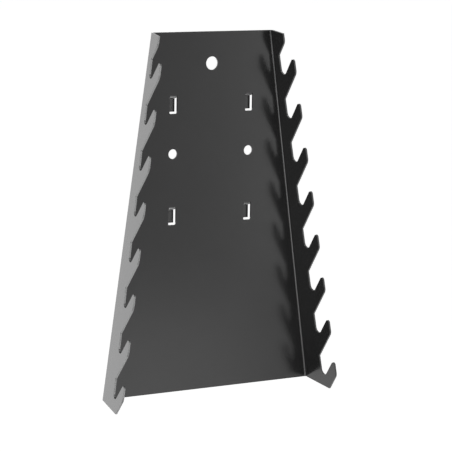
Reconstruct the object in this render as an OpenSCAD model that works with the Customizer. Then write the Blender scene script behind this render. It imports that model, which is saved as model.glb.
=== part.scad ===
// Wall rack for a set of eight spanners, punched and folded from one steel sheet.
// The origin is on the axis of the hanging hole, in the plane of the panel's back face.
// +X is to the right as seen from the front, -Y is to the front and +Z is up.

/* [Sheet] */
// Thickness of the steel sheet
sheet_t = 1.5; // [1:0.1:2.5]
// Inside radius of the two long folds
fold_r = 1.5; // [0.5:0.1:3]

/* [Back panel] */
// Height of the back panel
panel_h = 300; // [220:1:400]
// Inside width between the flanges at the top edge
top_w = 110; // [100:1:130]
// Inside width between the flanges at the bottom edge
bottom_w = 193.5; // [140:0.5:220]

/* [Flanges] */
// Angle by which each flange opens past square
flare = 5.5; // [0:0.5:10]
// Angle at which the row of slots runs away from the fold
row_tilt = 3.3; // [0:0.1:5]
// Width of the web behind the slots, at the top of the row
web_w = 6.4; // [4:0.1:9]
// Reach of the fingers from the fold, at the top of the row
finger_reach = 27; // [24:0.5:36]
// Reach of the short tooth above the first slot
top_tooth_reach = 16.5; // [12:0.5:20]

/* [Slots] */
// Width of a slot, square to its sides
slot_w = 15.3; // [10:0.1:18]
// Width of a finger, square to its sides
finger_w = 10; // [8:0.1:14]
// Angle between a finger and the row
finger_lean = 43; // [36:0.5:54]
// Distance down the row to the upper inner corner of the first slot
first_slot = 21.4; // [18:0.1:30]
// Radius of the finger tips
tip_r = 2; // [0.5:0.1:4]
// Radius at the front of each finger below its tip
nose_r = 7; // [1:0.5:12]
// Radius at the bottom of each slot
root_r = 4.2; // [0.5:0.1:5]
// Radius at the upper inner corner of each slot
corner_r = 1.3; // [0.4:0.1:2]

/* [Holes] */
// Diameter of the hanging hole
hang_d = 11; // [6:0.5:16]
// Distance from the top edge down to the hanging hole
hang_drop = 26.2; // [16:0.2:36]
// Diameter of the two screw holes
screw_d = 8; // [4:0.5:10]
// Distance from the top edge down to the screw holes
screw_drop = 99.8; // [80:0.2:120]
// Spacing across the panel of the screw holes, and of the hooks in line with them
fixing_span = 70.8; // [50:0.2:80]

/* [Hooks] */
// Width of the window that each hook is cut from
window_w = 7; // [5:0.1:10]
// Height of the window
window_h = 15; // [12:0.1:20]
// Corner radius at the bottom of the window
window_r = 0.8; // [0.2:0.1:1.5]
// Distance from the top edge down to the upper windows
window_drop = 51.6; // [42:0.2:60]
// Spacing of the upper and lower hooks
hook_rise = 92; // [70:0.5:120]
// Gap between the panel's back face and a hook's tab
hook_gap = 2.5; // [1.5:0.1:4]
// Inside radius of a hook's two bends
hook_r = 1; // [0.4:0.05:1.2]
// Clearance on each side of a hook in its window
hook_clear = 0.3; // [0.1:0.05:0.6]
// Height of a hook's end above the bottom of its window
hook_end = 1.2; // [0.4:0.1:3]

/* [Hidden] */
$fn = 64;
// Straight steps in an arc of an outline
arc_steps = 12;

// Colour of the black coating
coat = [0.13, 0.13, 0.14];
// Run by which a cutting shape passes the faces that it cuts
past = 1;
// Overlap of the shape that trims a fold and the shape that trims its flange
lap = 0.2;

panel_top = hang_drop;
panel_bottom = hang_drop - panel_h;
// Lean of the folds from the vertical, and their length
fold_tilt = atan((bottom_w - top_w) / 2 / panel_h);
fold_len = panel_h / cos(fold_tilt);
// Angle that the sheet turns through at a fold
fold_turn = 90 - flare;
// Distance from the sharp inside corner of a fold to where its arc starts
setback = fold_r * tan(fold_turn / 2);

// Spacing of the slots along the row, and the length of a slot's bottom
pitch = (slot_w + finger_w) / sin(finger_lean);
slot_len = slot_w / sin(finger_lean);
// Distance along the row that a finger climbs from its root to its tip
climb = (finger_reach - web_w) / tan(finger_lean);
// Length forward that holds the whole of the toothed edge
flange_run = finger_reach + fold_len * sin(row_tilt) + pitch;
// As many slots as leave a quarter of a finger's width below the front of the last finger
slot_count = floor((fold_len + climb - first_slot - finger_w / 4) / pitch);

// Radius of the hook bends, never more than half the gap that they span
hook_bend = min(hook_r, hook_gap / 2);

function unit(v) = v / norm(v);
function turned(v, angle) =
    [v[0] * cos(angle) - v[1] * sin(angle), v[0] * sin(angle) + v[1] * cos(angle)];

// Points of the arc that rounds the corner at q, on the way from p to s
function corner_arc(p, q, s, r) =
    let (
        a = unit(p - q),
        b = unit(s - q),
        half = acos(a * b) / 2,
        centre = q + unit(a + b) * r / sin(half),
        start = q + a * r / tan(half) - centre,
        sweep = sign(cross(q - p, s - q)) * (180 - 2 * half)
    )
    r > 0 ? [for (k = [0 : arc_steps]) centre + turned(start, sweep * k / arc_steps)] : [q];

// Filled outline through corners, each [point, radius]
module rounded_outline(corners) {
    count = len(corners);
    polygon([
        for (i = [0 : count - 1]) each corner_arc(
            corners[(i + count - 1) % count][0],
            corners[i][0],
            corners[(i + 1) % count][0],
            corners[i][1]
        )
    ]);
}

// Flange plane: [forward from the fold, up from its top end]. The row of slots runs down it.
function row_point(along, reach) =
    along * [sin(row_tilt), -cos(row_tilt)] + reach * [cos(row_tilt), sin(row_tilt)];
// Points on the upper and the lower side of slot i
function upper_side(i, reach) =
    row_point(first_slot + i * pitch - (reach - web_w) / tan(finger_lean), reach);
function lower_side(i, reach) =
    row_point(first_slot + slot_len + i * pitch - (reach - web_w) / tan(finger_lean), reach);
// Sheet that the bend draws outward, and how far the sheet's straight top and bottom edges have
// dropped where they cross the flange
bend_run = (fold_r + sheet_t / 2) * sin(fold_turn) - setback;
function edge_drop(forward) = (bend_run + forward - setback) * tan(fold_tilt);

// Outline of a flange in front of its fold
module flange_outline() {
    run_out = climb + pitch;
    start = setback - lap;
    toothed_edge = [
        [[start, run_out], 0],
        [row_point(-run_out, top_tooth_reach), 0],
        [upper_side(0, top_tooth_reach), nose_r],
        for (i = [0 : slot_count - 1]) each [
            [upper_side(i, web_w), corner_r],
            [lower_side(i, web_w), root_r],
            [lower_side(i, finger_reach), tip_r],
            [upper_side(i + 1, finger_reach), nose_r]
        ],
        [upper_side(slot_count, web_w), corner_r],
        [row_point(fold_len + run_out, web_w), 0],
        [[start, -fold_len - run_out], 0]
    ];
    intersection() {
        rounded_outline(toothed_edge);
        polygon([
            [setback, -edge_drop(setback)],
            [flange_run, -edge_drop(flange_run)],
            [flange_run, -fold_len - edge_drop(flange_run)],
            [setback, -fold_len - edge_drop(setback)]
        ]);
    }
}

// Cross-section of a fold and its flange, [outward, back] from the axis of the fold's bend
module fold_section() {
    outer = fold_r + sheet_t;
    far = 2 * outer;
    intersection() {
        difference() {
            circle(outer);
            circle(fold_r);
        }
        polygon([[0, 0], [far, 0], [far, far], far * [cos(fold_turn), sin(fold_turn)]]);
    }
    translate([fold_r, -flange_run])
        square([sheet_t, flange_run]);
}

// Right flange with its fold, which ends level with the panel's top and bottom edges
module flange() {
    spare = fold_len / 2;
    module on_fold() {
        translate([top_w / 2, -sheet_t, panel_top])
            rotate([0, -fold_tilt, 0])
                translate([-setback, -fold_r, 0])
                    children();
    }
    intersection() {
        on_fold()
            rotate([0, 0, flare])
                translate([0, 0, -fold_len - spare])
                    linear_extrude(fold_len + 2 * spare)
                        fold_section();
        union() {
            on_fold()
                rotate([0, 0, flare])
                    rotate([90, 0, -90])
                        translate([-setback, 0, -fold_r - 2 * sheet_t])
                            linear_extrude(3 * sheet_t)
                                flange_outline();
            intersection() {
                on_fold()
                    translate([-past, -lap, -fold_len - spare])
                        cube([2 * (fold_r + sheet_t), fold_r + 2 * sheet_t, fold_len + 2 * spare]);
                translate([0, -bottom_w, panel_bottom])
                    cube([bottom_w, 2 * bottom_w, panel_h]);
            }
        }
    }
}

module left_flange() {
    color(coat) mirror([1, 0, 0]) flange();
}

module right_flange() {
    color(coat) flange();
}

// Round hole through the panel at x, with its axis the given drop below the top edge
module panel_hole(x, drop, diameter) {
    translate([x, past, panel_top - drop])
        rotate([90, 0, 0])
            cylinder(d = diameter, h = sheet_t + 2 * past);
}

// Window that a hook is cut from, with its top edge the given drop below the panel's
module window(x, drop) {
    translate([x, past, panel_top - drop])
        rotate([90, 0, 0])
            linear_extrude(sheet_t + 2 * past)
                rounded_outline([
                    [[-window_w / 2, 0], 0],
                    [[window_w / 2, 0], 0],
                    [[window_w / 2, -window_h], window_r],
                    [[-window_w / 2, -window_h], window_r]
                ]);
}

module back_panel() {
    half_top = top_w / 2 - setback / cos(fold_tilt);
    half_bottom = bottom_w / 2 - setback / cos(fold_tilt);
    color(coat) difference() {
        rotate([90, 0, 0])
            linear_extrude(sheet_t)
                polygon([
                    [-half_top, panel_top],
                    [half_top, panel_top],
                    [half_bottom, panel_bottom],
                    [-half_bottom, panel_bottom]
                ]);
        panel_hole(0, hang_drop, hang_d);
        for (side = [-1, 1]) {
            panel_hole(side * fixing_span / 2, screw_drop, screw_d);
            for (row = [0, 1])
                window(side * fixing_span / 2, window_drop + row * hook_rise);
        }
    }
}

// Side view of a hook, [back, up] from the panel's back face at the window's top edge:
// two bends that step the sheet back, then the tab that drops behind the panel
module hook_profile() {
    outer = hook_bend + sheet_t;
    step = hook_gap - 2 * hook_bend;
    module bend_quarter(x, y) {
        intersection() {
            difference() {
                circle(outer);
                circle(hook_bend);
            }
            translate([min(x, 0) * outer, min(y, 0) * outer]) square(outer);
        }
    }
    translate([hook_bend, 0]) bend_quarter(-1, -1);
    if (step > 0)
        translate([hook_bend, -outer]) square([step, sheet_t]);
    translate([hook_bend + step, -outer - hook_bend]) bend_quarter(1, 1);
    translate([hook_gap, hook_end - window_h])
        square([sheet_t, window_h - hook_end - outer - hook_bend]);
}

// Hook on the left (-1) or right (1), in the upper (0) or lower (1) row
module hook(side, row) {
    width = window_w - 2 * hook_clear;
    color(coat)
        translate([side * fixing_span / 2 - width / 2, 0, panel_top - window_drop - row * hook_rise])
            rotate([90, 0, 90])
                linear_extrude(width)
                    hook_profile();
}

back_panel();
left_flange();
right_flange();
hook(-1, 0);  // upper_left_hook
hook(1, 0);  // upper_right_hook
hook(-1, 1);  // lower_left_hook
hook(1, 1);  // lower_right_hook
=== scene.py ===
"""Wall rack for spanners, one folded steel sheet in black powder coat, on a white studio ground."""
import math

import bpy
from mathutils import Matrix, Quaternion, Vector


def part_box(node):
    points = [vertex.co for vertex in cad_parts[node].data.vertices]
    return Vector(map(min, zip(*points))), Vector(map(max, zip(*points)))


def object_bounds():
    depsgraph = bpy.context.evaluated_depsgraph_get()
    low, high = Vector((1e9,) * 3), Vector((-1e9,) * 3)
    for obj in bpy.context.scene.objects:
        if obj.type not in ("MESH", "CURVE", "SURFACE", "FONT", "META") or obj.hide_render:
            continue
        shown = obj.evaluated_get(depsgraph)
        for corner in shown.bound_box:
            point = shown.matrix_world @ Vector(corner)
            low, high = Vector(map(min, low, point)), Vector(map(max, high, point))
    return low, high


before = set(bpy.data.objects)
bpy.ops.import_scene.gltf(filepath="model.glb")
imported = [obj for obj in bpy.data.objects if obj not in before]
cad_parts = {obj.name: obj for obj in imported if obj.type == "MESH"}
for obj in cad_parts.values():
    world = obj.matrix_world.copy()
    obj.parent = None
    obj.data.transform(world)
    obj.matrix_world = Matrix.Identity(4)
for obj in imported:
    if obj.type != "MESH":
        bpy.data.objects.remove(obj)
cad_low, cad_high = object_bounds()
scene = bpy.context.scene

# Edges and seams, in metres and radians
EDGE_ROUND = 0.0003               # radius that the coat gives a cut edge
EDGE_STEPS = 3                    # segments across that rounding
SHARP_ANGLE = math.radians(35)    # an edge is sharp where its faces turn by more than this
FLAT_ANGLE = math.radians(0.4)    # faces that turn by less than this are made one
WELD_GAP = 1e-6                   # points nearer than this are made one
SEAM_GAP = 1e-5                   # an edge nearer than this to a seam plane lies in it

# Powder coat, with its noises in patches per metre
COAT_DARK = (0.005, 0.005, 0.0051, 1)
COAT_LIGHT = (0.0075, 0.0075, 0.0077, 1)
COAT_IOR = 1.48
TONE_PATCHES = 24
TONE_DARK_BELOW = 0.3             # noise value up to which the coat is darkest
TONE_LIGHT_ABOVE = 0.7            # noise value from which it is lightest
GLOSS_PATCHES = 260
ROUGHNESS_LEAST = 0.14
ROUGHNESS_MOST = 0.2
PEEL_PATCHES = 1500
PEEL_STRENGTH = 0.4
PEEL_DEPTH = 0.0001               # metres

# Camera, measured from the photograph's perspective, in metres and radians
CAMERA_AZIMUTH = math.radians(29.04)
CAMERA_ELEVATION = math.radians(9.41)
CAMERA_ROLL = math.radians(0.90)
CAMERA_DISTANCE = 1.694
CAMERA_AIM = Vector((0.0154, -0.0015, -0.1366))
CAMERA_LENS = 161.4               # millimetres

# Floor and surroundings, in metres
FLOOR_DROP = 0.9                  # the rack hangs this far above the floor
FLOOR_RADIUS = 30
FLOOR_SIDES = 64
FLOOR_COLOUR = (0.86, 0.86, 0.86, 1)
FLOOR_GLOW = 0.65                 # strength of the floor's own light, where it is seen
WORLD_COLOUR = (1, 1, 1, 1)
WORLD_LIGHT = 0.416               # strength with which the surroundings light the rack


def cleared_tree(owner):
    """Node tree of a new material or world, emptied of its first nodes."""
    owner.use_nodes = True
    owner.node_tree.nodes.clear()
    return owner.node_tree


def math_node(tree, operation, *values):
    """Result of a math node, whose values are numbers or the results of other nodes."""
    node = tree.nodes.new("ShaderNodeMath")
    node.operation = operation
    for socket, value in zip(node.inputs, values):
        if isinstance(value, bpy.types.NodeSocket):
            tree.links.new(value, socket)
        else:
            socket.default_value = value
    return node.outputs["Value"]


def noise(tree, patches, detail):
    """Noise from 0 to 1 with this many patches per metre of a piece's own coordinates."""
    place = tree.nodes.new("ShaderNodeTexCoord")
    texture = tree.nodes.new("ShaderNodeTexNoise")
    texture.inputs["Scale"].default_value = patches
    texture.inputs["Detail"].default_value = detail
    tree.links.new(place.outputs["Object"], texture.inputs["Vector"])
    return texture.outputs["Fac"]


def powder_coat():
    """Black semi-gloss powder coat: slightly uneven black, uneven gloss and fine orange peel."""
    material = bpy.data.materials.new("powder_coat")
    tree = cleared_tree(material)
    nodes, links = tree.nodes, tree.links
    output = nodes.new("ShaderNodeOutputMaterial")
    shader = nodes.new("ShaderNodeBsdfPrincipled")
    shader.inputs["IOR"].default_value = COAT_IOR
    links.new(shader.outputs["BSDF"], output.inputs["Surface"])

    colour = nodes.new("ShaderNodeValToRGB")
    darkest, lightest = colour.color_ramp.elements
    darkest.position = TONE_DARK_BELOW
    darkest.color = COAT_DARK
    lightest.position = TONE_LIGHT_ABOVE
    lightest.color = COAT_LIGHT
    links.new(noise(tree, TONE_PATCHES, detail=4), colour.inputs["Fac"])
    links.new(colour.outputs["Color"], shader.inputs["Base Color"])

    roughness = nodes.new("ShaderNodeMapRange")
    roughness.inputs["To Min"].default_value = ROUGHNESS_LEAST
    roughness.inputs["To Max"].default_value = ROUGHNESS_MOST
    links.new(noise(tree, GLOSS_PATCHES, detail=5), roughness.inputs["Value"])
    links.new(roughness.outputs["Result"], shader.inputs["Roughness"])

    peel = nodes.new("ShaderNodeBump")
    peel.inputs["Strength"].default_value = PEEL_STRENGTH
    peel.inputs["Distance"].default_value = PEEL_DEPTH
    links.new(noise(tree, PEEL_PATCHES, detail=2), peel.inputs["Height"])
    links.new(peel.outputs["Normal"], shader.inputs["Normal"])
    return material


def geometry_group(name):
    """Geometry node group that takes a mesh in and gives one out, with its first and last nodes."""
    tree = bpy.data.node_groups.new(name, "GeometryNodeTree")
    for way in ("INPUT", "OUTPUT"):
        tree.interface.new_socket("Geometry", in_out=way, socket_type="NodeSocketGeometry")
    return tree, tree.nodes.new("NodeGroupInput"), tree.nodes.new("NodeGroupOutput")


def edge_marker(name, seams):
    """Node group that marks the sheet's own sharp edges for rounding, and not those in a seam plane."""
    tree, start, end = geometry_group(name)
    nodes, links = tree.nodes, tree.links
    angle = nodes.new("GeometryNodeInputMeshEdgeAngle")
    position = nodes.new("GeometryNodeInputPosition")
    mark = math_node(tree, "GREATER_THAN", angle.outputs["Unsigned Angle"], SHARP_ANGLE)
    for point, normal in seams:
        height = nodes.new("ShaderNodeVectorMath")
        height.operation = "DOT_PRODUCT"
        height.inputs[1].default_value = normal
        links.new(position.outputs["Position"], height.inputs[0])
        # Both are 1 or 0, so a mark stays 1 only where the edge is not in the seam
        in_seam = math_node(tree, "COMPARE", height.outputs["Value"], point.dot(normal), SEAM_GAP)
        mark = math_node(tree, "GREATER_THAN", mark, in_seam)
    store = nodes.new("GeometryNodeStoreNamedAttribute")
    store.data_type = "FLOAT"
    store.domain = "EDGE"
    store.inputs["Name"].default_value = "bevel_weight_edge"
    links.new(mark, store.inputs["Value"])
    links.new(start.outputs["Geometry"], store.inputs["Geometry"])
    links.new(store.outputs["Geometry"], end.inputs["Geometry"])
    return tree


def angle_smoother():
    """Node group that shades every face smooth and keeps only the sharp edges hard."""
    tree, start, end = geometry_group("smooth_by_angle")
    nodes, links = tree.nodes, tree.links
    faces = nodes.new("GeometryNodeSetShadeSmooth")
    edges = nodes.new("GeometryNodeSetShadeSmooth")
    edges.domain = "EDGE"
    angle = nodes.new("GeometryNodeInputMeshEdgeAngle")
    soft = math_node(tree, "LESS_THAN", angle.outputs["Unsigned Angle"], SHARP_ANGLE)
    links.new(soft, edges.inputs["Shade Smooth"])
    links.new(start.outputs["Geometry"], faces.inputs["Geometry"])
    links.new(faces.outputs["Geometry"], edges.inputs["Geometry"])
    links.new(edges.outputs["Geometry"], end.inputs["Geometry"])
    return tree


def round_edges(piece, seams, smoother):
    """Rounds the cut edges of a CAD piece as the coat does, and leaves the seams to its neighbours flat."""
    weld = piece.modifiers.new("weld", "WELD")
    weld.merge_threshold = WELD_GAP
    flat = piece.modifiers.new("flat", "DECIMATE")
    flat.decimate_type = "DISSOLVE"
    flat.angle_limit = FLAT_ANGLE
    mark = piece.modifiers.new("mark", "NODES")
    mark.node_group = edge_marker(piece.name + "_edges", seams)
    bevel = piece.modifiers.new("edge", "BEVEL")
    bevel.limit_method = "WEIGHT"
    bevel.width = EDGE_ROUND
    bevel.segments = EDGE_STEPS
    shade = piece.modifiers.new("shade", "NODES")
    shade.node_group = smoother
    normals = piece.modifiers.new("normals", "WEIGHTED_NORMAL")
    normals.keep_sharp = True


def fold_seam(flange):
    """Plane where a flange's fold starts, through its ends at the top and the foot of the panel."""
    panel_low, panel_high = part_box("back_panel")
    flange_low, flange_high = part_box(flange)
    top_x = min(flange_low.x, flange_high.x, key=abs)
    foot_x = math.copysign(panel_high.x, top_x)
    top = Vector((top_x, 0, panel_high.z))
    foot = Vector((foot_x, 0, panel_low.z))
    normal = (top - foot).cross(Vector((0, 1, 0))).normalized()
    return foot, normal


def hook_seam(hook):
    """Level plane where a hook leaves the top edge of its window."""
    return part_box(hook)[1], Vector((0, 0, 1))


def seen_rays(tree):
    """1 for rays from the camera, in reflections and through glass, and 0 for those that only light."""
    path = tree.nodes.new("ShaderNodeLightPath")
    beyond = math_node(tree, "MAXIMUM", path.outputs["Is Glossy Ray"], path.outputs["Is Transmission Ray"])
    return math_node(tree, "MAXIMUM", path.outputs["Is Camera Ray"], beyond)


def pale_floor():
    """White floor that still takes the shadow: where it is seen, its own light adds to the lamps'."""
    material = bpy.data.materials.new("pale_floor")
    tree = cleared_tree(material)
    nodes, links = tree.nodes, tree.links
    output = nodes.new("ShaderNodeOutputMaterial")
    paint = nodes.new("ShaderNodeBsdfDiffuse")
    paint.inputs["Color"].default_value = FLOOR_COLOUR
    glow = nodes.new("ShaderNodeEmission")
    both = nodes.new("ShaderNodeAddShader")
    links.new(math_node(tree, "MULTIPLY", seen_rays(tree), FLOOR_GLOW), glow.inputs["Strength"])
    links.new(paint.outputs["BSDF"], both.inputs[0])
    links.new(glow.outputs["Emission"], both.inputs[1])
    links.new(both.outputs["Shader"], output.inputs["Surface"])
    return material


def white_world():
    """Surroundings that are white where they are seen, and light the rack less strongly."""
    world = bpy.data.worlds.new("studio")
    tree = cleared_tree(world)
    nodes, links = tree.nodes, tree.links
    output = nodes.new("ShaderNodeOutputWorld")
    ground = nodes.new("ShaderNodeBackground")
    ground.inputs["Color"].default_value = WORLD_COLOUR
    links.new(math_node(tree, "MAXIMUM", seen_rays(tree), WORLD_LIGHT), ground.inputs["Strength"])
    links.new(ground.outputs["Background"], output.inputs["Surface"])
    return world


def softbox(name, at, aim, width, height, radiance):
    """Flat lamp that faces a point, as bright over its whole face as the given radiance."""
    lamp = bpy.data.lights.new(name, "AREA")
    lamp.shape = "RECTANGLE"
    lamp.size = width
    lamp.size_y = height
    lamp.energy = radiance * math.pi * width * height
    holder = bpy.data.objects.new(name, lamp)
    holder.location = at
    holder.rotation_euler = (Vector(aim) - Vector(at)).to_track_quat("-Z", "Y").to_euler()
    holder.visible_camera = False
    scene.collection.objects.link(holder)
    return holder


def photograph_camera():
    """Camera that sees the rack as the photograph does."""
    forward = Vector((
        math.sin(CAMERA_AZIMUTH) * math.cos(CAMERA_ELEVATION),
        math.cos(CAMERA_AZIMUTH) * math.cos(CAMERA_ELEVATION),
        -math.sin(CAMERA_ELEVATION),
    ))
    lens = bpy.data.cameras.new("camera")
    lens.lens = CAMERA_LENS
    camera = bpy.data.objects.new("camera", lens)
    camera.location = CAMERA_AIM - CAMERA_DISTANCE * forward
    camera.rotation_mode = "QUATERNION"
    camera.rotation_quaternion = forward.to_track_quat("-Z", "Y") @ Quaternion((0, 0, 1), CAMERA_ROLL)
    scene.collection.objects.link(camera)
    return camera


# The sheet, whose panel has a seam to each of the other pieces
seams = {}
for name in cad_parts:
    if name.endswith("_flange"):
        seams[name] = fold_seam(name)
    elif name.endswith("_hook"):
        seams[name] = hook_seam(name)
coat = powder_coat()
smoother = angle_smoother()
for name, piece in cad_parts.items():
    piece.material_slots[0].material = coat
    own_seams = list(seams.values()) if name == "back_panel" else [seams[name]]
    round_edges(piece, own_seams, smoother)

# Floor and background
bpy.ops.mesh.primitive_circle_add(vertices=FLOOR_SIDES, radius=FLOOR_RADIUS, fill_type="NGON")
floor = bpy.context.object
floor.name = "floor"
floor.location.z = cad_low.z - FLOOR_DROP
floor.data.materials.append(pale_floor())
scene.world = white_world()

# Lamps: the panel mirrors the two at the right, and the left flange the one at the back
middle = (cad_low + cad_high) / 2
softbox("key", at=(-1.0, -1.6, 1.4), aim=middle, width=1.2, height=1.2, radiance=2)
softbox("front_left", at=(-1.4, -1.9, -0.9), aim=middle, width=1.6, height=0.8, radiance=4)
softbox("front_right", at=(0.85, -0.76, -0.1), aim=middle, width=0.7, height=0.6, radiance=0.9)
softbox("low_right", at=(0.39, -1.05, -0.58), aim=middle, width=0.48, height=0.3, radiance=0.88)
softbox("top", at=(0.6, -0.9, 1.6), aim=middle, width=1.2, height=1.4, radiance=3)
softbox("back", at=(-0.4, 2.2, -0.05), aim=middle, width=3.4, height=2, radiance=1.2)

# Edge lamps, which light the cut edges of the flanges and hooks and leave the panel black
edge_lamps = [
    softbox("front", at=(0.64, -2.36, 0.1), aim=(0.64, 0, 0.1), width=0.44, height=2.4, radiance=8),
    softbox("under", at=(0.42, -0.9, -1.15), aim=(0.42, -0.9, 0), width=0.64, height=2.4, radiance=4.5),
]
flanges_and_hooks = bpy.data.collections.new("flanges_and_hooks")
for name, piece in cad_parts.items():
    if name != "back_panel":
        flanges_and_hooks.objects.link(piece)
for lamp in edge_lamps:
    lamp.light_linking.receiver_collection = flanges_and_hooks

# View
scene.camera = photograph_camera()
scene.view_settings.view_transform = "Standard"
